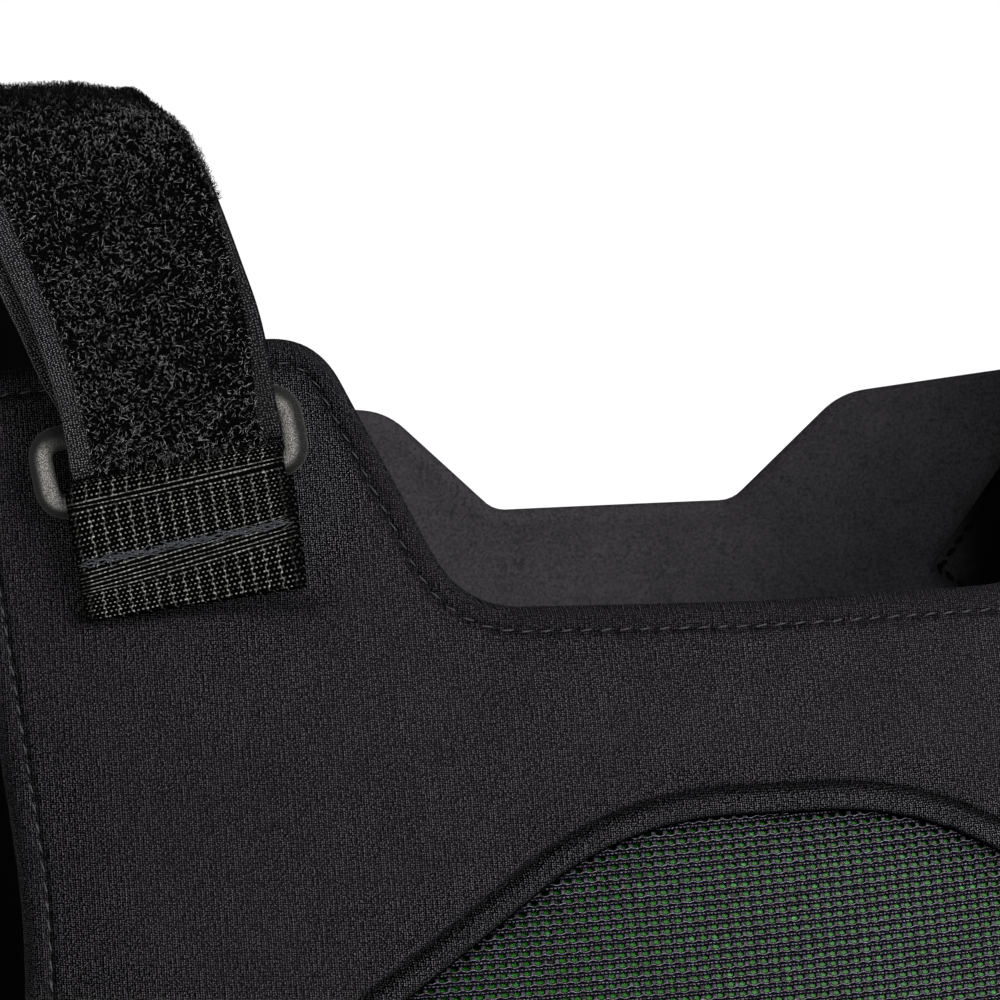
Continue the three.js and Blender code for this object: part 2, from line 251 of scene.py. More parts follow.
def liningRecipe(start, shaded):
    # brushed nap, with painted shade darkening it towards the arms
    x, y, z = objectMm(start)
    place = vector(x, y, z)
    nap = speckle(place, 1.6, 3.0, 0.7)
    tone = (nap * 0.9 + speckle(place, 0.12, 3.0) * 0.2).step(0.25, 0.85)
    brushed = blend(tone, liningSet.dark, liningSet.light)
    return blend(x.size().step(*shaded), brushed, liningSet.shade), 1.0 - 0.1 * nap, nap


# light is the colour of the painted highlights on the threads
pileSet = Settings(ground=(0.0004,) * 3, dark=(0.0008,) * 3, light=(0.15, 0.148, 0.15))


def fibreRecipe(start):
    # most threads are black; a few carry a painted highlight
    glint = stored(start, "glint").step(0.5, 1.0)
    tone = glint * (0.4 + speckle(vector(*objectMm(start)), 1.1))
    return blend(tone, pileSet.dark, pileSet.light), 0.8 - 0.2 * glint


selvedgeSet = Settings(width=40.8, border=4.2, narrows=49.0, column=0.56, loop=0.42)


def tapeRecipe(start, length, foldAt):
    # knitted ground of the strap: plain borders with a painted highlight along the outer edge, nearly black
    # under the pile
    s = selvedgeSet
    across, along = stripMm(start, s.width, length)
    left = across.step(s.border + 0.5, s.border - 0.5)
    narrow = s.border - (along - foldAt).above(0.0) * (s.border / s.narrows)
    right = (s.width - across - narrow).step(0.5, -0.5)
    bare = left.above(right)
    loop = dottedLoops(start, across / s.column, along / s.loop, 0.5)
    knitted = loop * (0.5 + speckle(vector(across, along, 0.0), 0.1)) * (1 - 0.5 * right)
    # painted highlight along the outer edge of the border
    rim = across.step(0.4, 0.15) * (0.1 + 0.4 * loop)
    ground = blend(knitted, (0.0015, 0.0015, 0.0016), (0.085, 0.082, 0.086))
    colour = blend(bare, pileSet.ground, blend(rim, ground, (0.05, 0.049, 0.05)))
    return colour, 0.95 - 0.2 * bare, knitted * bare


# line is the colour of the painted highlights on the yarn
webSet = Settings(
    cell=0.91, pick=0.83, chain=2.6, lean=0.12, line=(0.12, 0.119, 0.113), fold=0.606, foldHalf=0.009,
    seam=0.846, seamHalf=0.03, selvedge=1.5,
)


def webbingRecipe(start, width, length):
    # black floats with painted highlights on the yarn between them: short picks, thin wavy chains and a few
    # plain rows
    s = webSet
    across, along = stripMm(start, width, length)
    front = along / length
    lean = front.step(0.5, 0.8) - 0.6 * front.step(0.85, 1.0)
    along = along + (across - width / 2) * s.lean * lean
    front = along / length
    pick = along / s.pick
    column = across / s.cell
    row = (pick.fraction() - 0.5).size()
    place = ((column + 0.5 * pick.floor()).fraction() - 0.5).size()
    dash = place.step(0.28, 0.1) * row.step(0.19, 0.05)
    cloth = vector(across, along, 0.0)
    sway = ((pick * 0.5).wave() - 0.5) * 0.13 + (speckle(cloth, 0.5) - 0.5) * 0.22
    chainPlace = ((across / s.chain + sway).fraction() - 0.5).size()
    chain = chainPlace.step(0.05, 0.012)
    knot = chainPlace.step(0.13, 0.02) * row.step(0.28, 0.06)
    grain = speckle(cloth, 1.7, 1.0, 0.5).step(0.32, 0.7)
    plain = (front - s.fold).size().step(s.foldHalf + 0.01, s.foldHalf)
    plain = plain + (front - s.seam).size().step(s.seamHalf + 0.02, s.seamHalf)
    line = row.step(0.18, 0.05) * (0.3 + 0.7 * column.wave())
    edge = width / 2 - s.selvedge
    selvedge = (across - width / 2).size().step(edge - 0.4, edge)
    # the tone lays the painted highlights, in the line colour, over the black floats
    tone = plain * line * 0.75 + (1 - plain) * (dash * 0.62 + chain * 0.26 + knot * 0.36)
    tone = tone * (0.12 + 1.1 * grain) * (1 - 0.8 * selvedge)
    return blend(tone, (0.0003,) * 3, s.line), 0.75 - 0.3 * tone, tone


elasticSet = Settings(rib=1.9, pick=1.1, dark=(0.0015, 0.0015, 0.0016), light=(0.013, 0.0128, 0.0132))


def elasticRecipe(start, width, length):
    s = elasticSet
    across, along = stripMm(start, width, length)
    rib = (across / s.rib).wave()
    pick = (along / s.pick + 0.5 * (across / s.rib).floor()).wave()
    tone = (rib * 0.7 + pick * 0.3) * (0.5 + speckle(vector(across, along, 0.0), 1.3))
    return blend(tone, s.dark, s.light), 0.9 - 0.2 * rib, rib * 0.7 + pick * 0.5


# shade is the painted shade between the yarns
netSet = Settings(
    across=2.15, row=1.74, lean=0.055, yarn=(0.1, 0.1, 0.125), warm=(0.075, 0.06, 0.045),
    shade=(0.0002, 0.0002, 0.0008),
)


def netRecipe(start):
    # each row has oval holes, a bright yarn slung under them, a dark line and a row of short stitches; the
    # ground between the yarns is painted shade
    s = netSet
    x, y, z = objectMm(start)
    sway = speckle(vector(x, z, 0.0), 0.25)
    u = x / s.across + 0.25 * sway
    row = ((z - x * s.lean) / s.row + 0.2 * sway).fraction()
    cell = u.fraction() - 0.5
    rise = row - 0.55
    oval = (cell * cell) / (0.31 * 0.31) + (rise * rise) / (0.24 * 0.24)
    garland = (row - (0.22 + 0.13 * (u + 0.5).wave())).size().step(0.06, 0.0)
    slanted = (u * 3 + row * 1.5).wave()
    dashes = slanted.step(0.3, 0.6) * ((row + 0.2).fraction() - 0.16).size().step(0.08, 0.02)
    tie = cell.size().step(0.3, 0.4) * rise.size().step(0.22, 0.1)
    grain = speckle(vector(x, y, z), 3.6, 1.0, 0.5).step(0.3, 0.7)
    tone = garland.above(dashes * 0.6).above(tie * 0.22) * (0.1 + 1.1 * grain)
    yarn = blend(speckle(vector(x, z, y), 2.2, 1.0, 0.5).step(0.45, 0.65), s.yarn, s.warm)
    return blend(tone, s.shade, yarn), 0.85 - 0.2 * tone, tone, 1 - oval.step(1.15, 0.8)


# pale is the colour of the painted highlights on the foam
foamSet = Settings(
    green=(0.0022, 0.0265, 0.0008), pale=(0.019, 0.082, 0.022), hole=(0.002, 0.003, 0.002), vent=11.2
)


def foamRecipe(start):
    x, y, z = objectMm(start)
    cloud = speckle(vector(x, y, z), 0.3, 3.0, 0.65)
    given = {"Vector": vector(x, 0.0, z), "Scale": 1 / foamSet.vent, "Randomness": 0.25}
    vent = start.add("TexVoronoi", {}, given).step(0.13, 0.1)
    # the pale cloudy patches are painted highlights on the green foam
    skin = blend(cloud.step(0.53, 0.8), foamSet.green, foamSet.pale)
    return blend(vent, skin, foamSet.hole), 0.3 + 0.35 * cloud, cloud - vent


def plasticRecipe(start):
    # pale grain, lit by painted light on the front face and darkened by painted shade on the flanks
    grain = speckle(vector(*objectMm(start)), 4.6, 1.0, 0.5).step(0.38, 0.64)
    tone = stored(start, "worn") * (0.2 + 0.9 * grain)
    return blend(tone, (0.001,) * 3, (0.068, 0.067, 0.0637)), 0.5 + 0.2 * grain, grain


threadSet = Settings(
    dark=((0.001, 0.001, 0.0011), (0.032, 0.031, 0.033)),
    black=((0.0003,) * 3, (0.0012,) * 3),
    pale=((0.001, 0.0011, 0.0014), (0.03, 0.032, 0.0365)),
)


def threadRecipe(start, dark, light):
    x, y, z = objectMm(start)
    ply = ((x + y + z) / 0.32).wave()
    tone = 0.2 + ply * 0.15 + speckle(vector(x, y, z), 1.2) * 0.6
    return blend(tone, dark, light), 0.7 - 0.15 * ply, ply


knit = makeMaterial("charcoal_knit", knitRecipe, bump=0.5, depth=0.00018)
lining = makeMaterial("brushed_lining", liningRecipe, liningSet.panel, bump=0.35, depth=0.00012)
# on the strap patches the painted shade comes in nearer the middle, so most of each patch is painted dark
patchLining = makeMaterial("patch_lining", liningRecipe, liningSet.patch, bump=0.35, depth=0.00012)
fibre = makeMaterial("pile_fibre", fibreRecipe, gloss=0.02)
netting = makeMaterial("window_netting", netRecipe, bump=0.7, depth=0.00035, gloss=0.01)
foam = makeMaterial("green_foam", foamRecipe, bump=0.3, depth=0.0005, gloss=0.05)
plastic = makeMaterial("grained_plastic", plasticRecipe, bump=0.7, gloss=0.04)
darkThread = makeMaterial("dark_thread", threadRecipe, *threadSet.dark, bump=0.4, gloss=0.01)
blackThread = makeMaterial("black_thread", threadRecipe, *threadSet.black, bump=0.4)
paleThread = makeMaterial("pale_thread", threadRecipe, *threadSet.pale, bump=0.4, gloss=0.02)
print("materials made")


# surfaces of the torso, in millimetres, with the same sizes as the solids
torsoForm = {
    "z": (20, -30, -92, -180, -260, -340, -450),
    "front": (44, 58, 77, 104, 116, 110, 100),
    "frontRadius": (330, 330, 280, 210, 190, 190, 190),
    "back": (46, 54, 63, 84, 98, 94, 84),
    "backRadius": (520, 520, 420, 300, 240, 230, 230),
}


def torso(measure, z):
    heights, values = (np.array(torsoForm[k], float) for k in ("z", measure))
    last = len(heights) - 1
    rows = np.arange(last + 1)
    below, above = np.minimum(rows + 1, last), np.maximum(rows - 1, 0)
    slope = (values[below] - values[above]) / (heights[below] - heights[above])
    i = np.clip(np.searchsorted(-heights, -np.asarray(z, float)), 1, last) - 1
    span = heights[i + 1] - heights[i]
    t = (z - heights[i]) / span
    return (
        values[i] * (1 + 2 * t) * (1 - t) ** 2
        + slope[i] * span * t * (1 - t) ** 2
        + values[i + 1] * t * t * (3 - 2 * t)
        + slope[i + 1] * span * t * t * (t - 1)
    )


def frontFace(x, z):
    return x * x / (2 * torso("frontRadius", z)) - torso("front", z)


def backFace(x, z):
    return torso("back", z) - x * x / (2 * torso("backRadius", z))


def sunkFace(face, depth):  # a face moved in along its normal
    return lambda x, z: onFace(face, x, z, depth)[..., 1]


def unit(v):
    return v / np.maximum(norm(v, axis=-1, keepdims=True), 1e-9)


def faceNormal(face, x, z):  # towards -Y
    tilt = face(x + 1, z) - face(x - 1, z), np.full(np.shape(x), -2.0), face(x, z + 1) - face(x, z - 1)
    return unit(np.stack(tilt, -1))


def onFace(face, x, z, depth):  # depth along the normal, towards +Y, keeping x and z
    x, z, depth = np.broadcast_arrays(*(np.asarray(v, float) for v in (x, z, depth)))
    return np.stack([x, face(x, z) - depth / faceNormal(face, x, z)[..., 1], z], -1)


def offFace(face, x, z, lift):  # a point lifted along the normal, towards -Y
    x, z, lift = np.broadcast_arrays(*(np.asarray(v, float) for v in (x, z, lift)))
    return np.stack([x, face(x, z), z], -1) + faceNormal(face, x, z) * lift[..., None]


def smooth(value, low, high):
    t = np.clip((value - low) / (high - low), 0, 1)
    return t * t * (3 - 2 * t)


def bell(value, width):
    return np.exp(-((value / width) ** 2))


def runAlong(points):
    return np.r_[0, np.cumsum(norm(np.diff(points, axis=0), axis=1))]


# outlines: corners are x, z and the length that is rounded on both sides
def mirrored(half):
    return half + [(-x, z, r) for x, z, r in reversed(half)]


def grown(corners, by):
    points = np.array(corners)[:, :2]
    side = unit(np.roll(points, -1, 0) - points)
    after = np.stack([-side[:, 1], side[:, 0]], 1)
    before = np.roll(after, 1, 0)
    moved = points + (before + after) * by / (1 + (before * after).sum(1, keepdims=True))
    return [(x, z, c[2]) for (x, z), c in zip(moved, corners)]


def outlineLoop(corners, step):
    path = []
    t = np.linspace(0, 1, 17)[:, None]
    for i, (x, z, r) in enumerate(corners):
        at = np.array((x, z))
        start, end = (at + r * unit(np.array(corners[k % len(corners)][:2]) - at) for k in (i - 1, i + 1))
        path.append((1 - t) ** 2 * start + 2 * t * (1 - t) * at + t * t * end)
    return evenLoop(np.vstack(path), step)


def evenLoop(path, step, whole=round):  # points spread evenly round a closed path
    closed = np.vstack([path, path[:1]])
    run = runAlong(closed)
    count = int(whole(run[-1] / step))
    at = np.arange(count) * run[-1] / count
    return np.stack([np.interp(at, run, closed[:, k]) for k in (0, 1)], 1)


def loopRun(loop):
    return unit(np.roll(loop, -1, 0) - np.roll(loop, 1, 0))


def loopNormals(loop):  # pointing out of a clockwise loop
    along = loopRun(loop)
    return np.stack([-along[:, 1], along[:, 0]], 1)


def edgeDistance(points, loop):
    # distance inside the loop, negative outside it, and the place along the loop
    a, b = loop, np.roll(loop, -1, 0)
    side = b - a
    lengths = norm(side, axis=1)
    starts = np.r_[0, np.cumsum(lengths)[:-1]]
    distance, place = np.empty(len(points)), np.empty(len(points))
    batch = 2000
    for k in range(0, len(points), batch):
        part = slice(k, k + batch)
        p = points[part, None, :]
        t = np.clip(((p - a) * side).sum(-1) / lengths**2, 0, 1)
        gap = norm(p - a - t[..., None] * side, axis=-1)
        near = gap.argmin(1)
        rows = np.arange(len(near))
        with np.errstate(divide="ignore", invalid="ignore"):
            crossing = a[:, 0] + (p[..., 1] - a[:, 1]) / side[:, 1] * side[:, 0]
        hits = ((a[:, 1] > p[..., 1]) != (b[:, 1] > p[..., 1])) & (p[..., 0] < crossing)
        distance[part] = gap[rows, near] * np.where(hits.sum(1) % 2, 1, -1)
        place[part] = starts[near] + t[rows, near] * lengths[near]
    return distance, place


def deepIn(points, loop, by):
    return points[edgeDistance(points, loop)[0] > by]


def fillPoints(loop, step):  # a staggered grid over the loop's box
    low, high = loop.min(0), loop.max(0)
    rows = np.arange(low[1], high[1], step * 0.87)
    columns = np.arange(low[0], high[0], step)
    return np.array([(x + step / 2 * (i % 2), z) for i, z in enumerate(rows) for x in columns])


def fillLoop(loop, inner):
    count = len(loop)
    edges = [(i, (i + 1) % count) for i in range(count)]
    points = [Vector(p) for p in np.vstack([loop, inner])]
    made = delaunay_2d_cdt(points, edges, [], 1, 1e-5)
    return np.array(made[0]), np.array([f for f in made[2] if len(f) == 3])


# finishing a piece
def meshObject(name, points, faces):
    mesh = bpy.data.meshes.new(name)
    mesh.from_pydata((points * mm).tolist(), [], faces)
    mesh.update()
    piece = bpy.data.objects.new(name, mesh)
    scene.collection.objects.link(piece)
    return piece


def pointsOf(piece):
    return np.array([v.co for v in piece.data.vertices])


def movePoints(piece, points):
    for vertex, point in zip(piece.data.vertices, points):
        vertex.co = point * mm


def store(piece, name, values):
    piece.data.attributes.new(name, "FLOAT", "POINT").data.foreach_set("value", values)


def choose(piece):
    bpy.ops.object.select_all(action="DESELECT")
    piece.select_set(True)
    bpy.context.view_layer.objects.active = piece


def applyModifier(piece, kind, **settings):
    choose(piece)
    modifier = piece.modifiers.new(kind.lower(), kind)
    for key, value in settings.items():
        setattr(modifier, key, value)
    bpy.ops.object.modifier_apply(modifier=modifier.name)


def faceOutwards(piece):
    choose(piece)
    bpy.ops.object.mode_set(mode="EDIT")
    bpy.ops.mesh.select_all(action="SELECT")
    bpy.ops.mesh.normals_make_consistent(inside=False)
    bpy.ops.object.mode_set(mode="OBJECT")


def keep(piece, slot, *materials, node=None):
    for material in materials:
        piece.data.materials.append(material)
    choose(piece)
    bpy.ops.object.shade_smooth()
    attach(piece, "root")
    if node:
        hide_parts(node)


def keepPair(piece, slot, material, node=None):
    # a right-hand piece and its left-hand copy, with its own mesh
    twin = piece.copy()
    twin.data = piece.data.copy()
    twin.name = twin.data.name = piece.name.replace("right", "left")
    twin.data.transform(Matrix.Diagonal((-1, 1, 1, 1)))
    twin.data.flip_normals()
    scene.collection.objects.link(twin)
    keep(piece, slot, material, node=node)
    keep(twin, slot, material, node=node and node.replace("right", "left"))
    return piece, twin


# padded panels: two faces over one outline, rounded hem, stitched groove, swollen middle
coarseShell = Settings(edge=5.0, rings=(3.0, 7.5), fill=6.5)
fineEdge = 1.3


def shellOf(face, s, fine):
    edge, insets, fill = (fineEdge, s.rings, s.fill) if fine else coarseShell.values()
    loop = outlineLoop(s.corners, edge)
    outward = loopNormals(loop)
    inner = [deepIn(fillPoints(loop, fill), loop, insets[-1] + 2)]
    for inset in insets:
        ring = loop - outward * inset
        if inset > 7 or inset < 3:
            ring = ring[::2]
        inner.append(deepIn(ring, loop, inset - 0.08))
    if "extra" in s:
        inner += [deepIn(more, loop, insets[-1] + 1) for more in s.extra(fine)]
    flat, faces = fillLoop(loop, np.vstack(inner))
    rim, half, hem = len(loop), s.thickness / 2, s.hem
    lip = hem.thickness / 2
    inside, along = edgeDistance(flat, loop)
    inside[:rim] = 0
    curve = np.sqrt(np.clip(1 - (1 - np.clip(inside / hem.round, 0, 1)) ** 2, 0, 1))
    rise = lip * curve + hem.roll * np.sin(pi * np.clip(inside / hem.stitch, 0, 1))
    rise = rise + (half - lip) * smooth(inside, hem.stitch, hem.swell)
    offSeam = inside - hem.stitch
    groove = hem.groove * bell(offSeam, hem.grooveWidth)
    ripple = np.sin(2 * pi * along / hem.pitch)
    pucker = bell(offSeam, 2.2) * ripple * hem.pucker * (inside > 0)
    # painted shade in dimples along the stitched groove, and over the hem band outside the stitches
    shade = (0.6 + 0.25 * ripple) * bell(offSeam - 0.3, hem.shadeWidth)
    shade = np.maximum(shade, hem.dark * smooth(inside, hem.stitch, hem.stitch - 1))
    relief, dark = s.form(flat) if "form" in s else (0, 0)
    near = half - rise + groove * s.get("nearGroove", 1) + pucker + relief
    far = half + rise - groove - pucker
    # all the painted shade on the knit: the hem's dimples and band, and the form's groove, pocket edge and
    # tab shadow
    crease = np.clip(shade + dark, 0, 1)
    away = outward[np.searchsorted(runAlong(loop), along, "right") - 1]
    turned = [np.clip(depth - half + lip, 0, hem.thickness) for depth in (near, far)]
    turned[0] *= smooth(inside, hem.stitch - 0.5, hem.stitch - 1.5)
    weave = [np.c_[flat + away * by[:, None], by * 0] for by in turned]
    points = [onFace(face, flat[:, 0], flat[:, 1], depth) for depth in (near, far)]
    farIndex = np.r_[np.arange(rim), len(flat) + np.arange(len(flat) - rim)]
    joined = lambda nearSide, farSide: np.concatenate([nearSide, farSide[rim:]])
    faces = np.vstack([faces, farIndex[faces][:, ::-1]])
    return Settings(
        points=joined(*points), weave=joined(*weave), faces=faces, nearFaces=len(faces) // 2,
        nearCount=len(flat), inside=joined(inside, inside), crease=joined(crease, crease),
    )


swellSet = Settings(pressure=4.0, frames=14, cap=1.3, mass=0.2, stiffness=12.0)


def swollen(name, face, s, shell):
    # a coarse copy is blown up as cloth, and its movement is passed on to the fine mesh
    points, nearCount = shell.points, shell.nearCount
    coarse = shellOf(face, s, False)
    rough, roughNear = coarse.points, coarse.nearCount
    body = meshObject(name + "_swell", rough, coarse.faces.tolist())
    choose(body)
    pins = body.vertex_groups.new(name="sewn")
    held = (coarse.inside < 8) | s.held(rough)
    pins.add(np.flatnonzero(held).tolist(), 1.0, "REPLACE")
    modifier = body.modifiers.new("cloth", "CLOTH")
    cloth = modifier.settings
    cloth.mass = swellSet.mass
    cloth.use_pressure = True
    cloth.uniform_pressure_force = swellSet.pressure
    cloth.tension_stiffness = cloth.compression_stiffness = swellSet.stiffness
    cloth.vertex_group_mass = "sewn"
    cloth.effector_weights.gravity = 0
    for number in range(1, swellSet.frames + 1):
        scene.frame_set(number)
    bpy.ops.object.modifier_apply(modifier=modifier.name)
    moved = pointsOf(body) / mm - rough
    length = norm(moved, axis=1, keepdims=True)
    moved *= np.minimum(1, swellSet.cap / np.maximum(length, 1e-6))
    bpy.data.objects.remove(body)
    scene.frame_set(1)
    change = np.zeros_like(points)
    rim = np.arange(2 * roughNear - len(rough))
    nearSide = np.arange(nearCount), np.arange(roughNear)
    farSide = np.arange(nearCount, len(points)), np.r_[rim, np.arange(roughNear, len(rough))]
    for fineSide, roughSide in (nearSide, farSide):
        tree = KDTree(len(roughSide))
        for i in roughSide:
            tree.insert(rough[i], int(i))
        tree.balance()
        for i in fineSide:
            found = tree.find_n(points[i], 4)
            weight = np.array([1 / (d * d + 4) for _, _, d in found])
            change[i] = (moved[[k for _, k, _ in found]] * weight[:, None]).sum(0) / weight.sum()
    print(name, "swollen by up to", round(float(norm(change, axis=1).max()), 2), "mm")
    return points + change * smooth(shell.inside, 6, 15)[:, None]


def paddedPanel(name, face, s, swell=True):
    shell = shellOf(face, s, True)
    points = shell.points
    if swell:
        points = swollen(name, face, s, shell)
    piece = meshObject(name, points, shell.faces.tolist())
    store(piece, "crease", shell.crease)
    weave = piece.data.attributes.new("weave", "FLOAT_VECTOR", "POINT")
    weave.data.foreach_set("vector", shell.weave.ravel())
    for polygon in piece.data.polygons[shell.nearFaces :]:
        polygon.material_index = 1
    print(name, len(shell.faces), "triangles")
    return piece


# dark and shadeWidth set painted shade: dark over the hem band between the stitches and the edge,
# shadeWidth for dimples by the stitches
hemSet = Settings(
    thickness=4.8, round=2.3, roll=0.45, stitch=4.5, swell=20.0, groove=0.65, grooveWidth=0.55,
    shadeWidth=0.8, pitch=3.6, pucker=0.16, dark=0.3,
)
panelRings = (0.3, 0.8, 1.5, 2.3, 3.0, 3.5, 3.9, 4.2, 4.5, 4.8, 5.2, 5.8, 7.0, 9.0, 12.0)

windowCorners = mirrored([(28.8, -130, 21), (92, -177, 18), (92, -262, 20), (56, -322, 18)])
windowLoop = outlineLoop(windowCorners, 1.5)
rimSet = Settings(
    width=4.4, height=0.8, groove=1.5, grooveWidth=0.8, pocket=5.6,
    fine=(-1.2, -0.5, -0.15, 0.2, 0.6, 1.1, 1.8, 2.6, 3.3, 3.7, 4.0, 4.3, 4.6, 4.9, 5.2, 5.6, 6.2, 7.5),
    coarse=(-1.5, 0.2, 2.2, 4.5),
)
# dent presses the padding in under a tab's lower edge; shade is the painted shadow laid there
tabSet = Settings(
    width=41.4, thickness=1.6, lowX=-101.9, lowZ=-89.5, lowTilt=0.02, inSlot=0.9, dent=1.0, shade=0.55
)


def windowRings(fine):
    outward = loopNormals(windowLoop)
    offsets = rimSet.fine if fine else rimSet.coarse
    rings = [(windowLoop + outward * by)[:: 1 if fine else 3] for by in offsets]
    if fine:  # close points where each tab presses into the padding
        u, v = (grid.ravel() for grid in np.meshgrid(np.linspace(-26, 26, 40), np.linspace(-9, 5, 12)))
        foot = np.stack([tabSet.lowX + u, tabSet.lowZ + tabSet.lowTilt * u + v], 1)
        rings += [foot, foot * (-1, 1)]
    return rings


def tabFoot(flat):  # how near each point is to the band just under a tab's lower edge
    pressed = np.zeros(len(flat))
    for side in (1, -1):
        u = side * flat[:, 0] - tabSet.lowX
        below = tabSet.lowZ + tabSet.lowTilt * u - flat[:, 1]
        pressed += bell(below - 1.0, 1.5) * smooth(np.abs(u), 24, 19)
    return pressed


def frontForm(flat):  # the window's rim and the tabs' dents: how deep they are, and how much painted shade lies in the rim's groove, over the pocket's edge and under each tab
    s = rimSet
    outside, foot, half = -edgeDistance(flat, windowLoop)[0], tabFoot(flat), s.width / 2
    dome = np.sqrt(np.clip(1 - ((outside - half) / half) ** 2, 0, 1))
    groove = bell(outside - s.width - 0.2, s.grooveWidth)
    pocket = s.pocket * smooth(outside, 0.1, -0.5)
    depth = s.groove * groove - s.height * dome + pocket + tabSet.dent * foot
    return depth, 0.75 * groove + smooth(outside, 1.3, 0.1) + tabSet.shade * foot


def underBand(p, x):  # where a waist band lies on a panel
    middle, half = -285, 34
    return (np.abs(p[:, 0]) > x) & (np.abs(p[:, 2] - middle) < half)


def frontHeld(p):
    return (edgeDistance(p[:, [0, 2]], windowLoop)[0] > -8) | (p[:, 2] > -96) | underBand(p, 88)


frontHalf = [(0, -92.3, 22), (54.4, -91.5, 11), (77.2, -40.7, 10), (144.8, -47.4, 12)]
frontHalf += [(133.5, -165, 34), (148, -226, 26), (134, -335, 22), (84, -366, 24)]
frontSet = Settings(
    corners=mirrored(frontHalf), thickness=9.0, fill=4.5, rings=panelRings, hem=hemSet,
    extra=windowRings, form=frontForm, held=frontHeld,
)
frontPanel = paddedPanel("front_panel_padded", frontFace, frontSet)
keep(frontPanel, "knit", knit, lining, node="front_panel")

backHalf = [(24.4, -83.3, 2.5), (46.4, -62.4, 5), (141, -51.6, 14), (131, -165, 34)]
backHalf += [(148, -236, 26), (134, -388, 24), (78, -432, 26)]
backSet = Settings(
    corners=mirrored(backHalf), thickness=9.0, fill=5.0, rings=panelRings, nearGroove=0,
    hem=Settings(hemSet, groove=0.5, roll=0.0, pucker=0.05),
    held=lambda p: ((np.abs(p[:, 0]) > 60) & (p[:, 2] > -126)) | underBand(p, 90),
)
backPanel = paddedPanel("back_panel_padded", backFace, backSet)
keep(backPanel, "knit", lining, knit, node="back_panel")

padSet = Settings(
    corners=grown(windowCorners, -0.6), sunk=1.3, thickness=3.4, fill=4.0,
    rings=(0.4, 0.9, 1.6, 2.6, 4.5),
    hem=Settings(hemSet, thickness=2.6, round=1.3, roll=0.0, stitch=2.0, swell=9.0, groove=0.0, pucker=0.0),
)
chestPad = paddedPanel("chest_pad_foam", sunkFace(frontFace, padSet.sunk), padSet, swell=False)
keep(chestPad, "foam", foam, node="chest_pad")
chestPad.data.polygons.foreach_set("material_index", [0] * len(chestPad.data.polygons))


def clothSheet(name, face, s):
    loop = outlineLoop(s.corners, 2.4)
    flat, faces = fillLoop(loop, deepIn(fillPoints(loop, s.fill), loop, 1.5))
    piece = meshObject(name, onFace(face, flat[:, 0], flat[:, 1], s.depth), faces.tolist())
    applyModifier(piece, "SOLIDIFY", thickness=s.thickness * mm, offset=-1)
    return piece


netSheet = Settings(corners=grown(windowCorners, -0.2), depth=0.8, thickness=0.25, fill=4.0)
windowMesh = clothSheet("window_mesh_net", frontFace, netSheet)
keep(windowMesh, "netting", netting, node="window_mesh")
print("panels, pad and mesh made")


# path of a shoulder: ring, tab and strap share the ring's frame
ringSet = Settings(
    x=-105.1, z=-62.2, tilt=9.8, width=52.4, height=17.4, bar=4.6, depth=4.2, round=6.5, chamfer=1.1
)
touch = 0.3


def ringFrame(s):
    spread = (s.height - s.bar) / 2
    tilt = radians(s.tilt)
    yaw = atan((frontFace(s.x + 1, s.z) - frontFace(s.x - 1, s.z)) / 2)
    out = np.array((sin(yaw), -cos(yaw), 0))
    level = np.array((cos(yaw), sin(yaw), 0))
    across = level * cos(tilt) + np.cross(out, level) * sin(tilt)
    up = np.cross(out, across)
    stand = 3 * touch + tabSet.thickness + s.depth / 2
    low = offFace(frontFace, s.x + spread * sin(tilt), s.z - spread, stand)
    middle, high = low + up * spread, low + 2 * spread * up
    return Settings(across=across, up=up, out=out, low=low, middle=middle, high=high)


hold = ringFrame(ringSet)


def makeRing(name, s):
    turns, sides = 112, 40
    bpy.ops.mesh.primitive_torus_add(major_segments=turns, minor_segments=sides)
    ring = bpy.context.object
    ring.name = ring.data.name = name
    x, z, r = (s.width - s.bar) / 2, (s.height - s.bar) / 2, s.round - s.bar / 2
    path = outlineLoop([(x, z, r), (x, -z, r), (-x, -z, r), (-x, z, r)], 0.5)
    run = np.linspace(0, len(path), turns, endpoint=False)
    steps = np.arange(len(path) + 1)
    path = np.stack([np.interp(run, steps, np.r_[path[:, k], path[0, k]]) for k in (0, 1)], 1)
    outward = loopNormals(path)
    places = pointsOf(ring)
    turn = np.round(np.arctan2(places[:, 1], places[:, 0]) / (2 * pi) * turns).astype(int) % turns
    angle = np.arctan2(places[:, 2], np.hypot(places[:, 0], places[:, 1]) - 1)
    squared = lambda v: np.sign(v) * np.abs(v) ** 0.85
    reach = s.bar / 2 * squared(np.cos(angle))
    flat = path[turn] + outward[turn] * reach[:, None]
    lift = s.depth / 2 * squared(np.sin(angle))
    lift = np.minimum(lift, s.depth / 2 - s.chamfer * np.maximum(reach, 0))
    edge = reach / (s.bar / 2)
    # painted light: the front face bright, painted shade on the flanks, the back and the upper bar behind
    # the strap, a thin painted highlight on the outermost edge
    worn = smooth(edge, 0.5, -0.05) * (0.45 + 0.55 * smooth(edge, -1.0, -0.5)) * (lift > -0.3 * s.depth)
    shaded = smooth(path[turn][:, 1], 0.2 * z, 0.9 * z) * smooth(np.abs(path[turn][:, 0]), x + 0.5, x - 3.5)
    worn = np.maximum(worn * (1 - 0.9 * shaded), 0.16 * smooth(edge, 0.86, 0.95)) + 0.05
    points = hold.middle + flat[:, :1] * hold.across + flat[:, 1:] * hold.up + lift[:, None] * hold.out
    movePoints(ring, points)
    store(ring, "worn", worn)
    faceOutwards(ring)
    return ring


keepPair(makeRing("strap_ring_right_moulded", ringSet), "plastic", plastic, node="strap_ring_right")


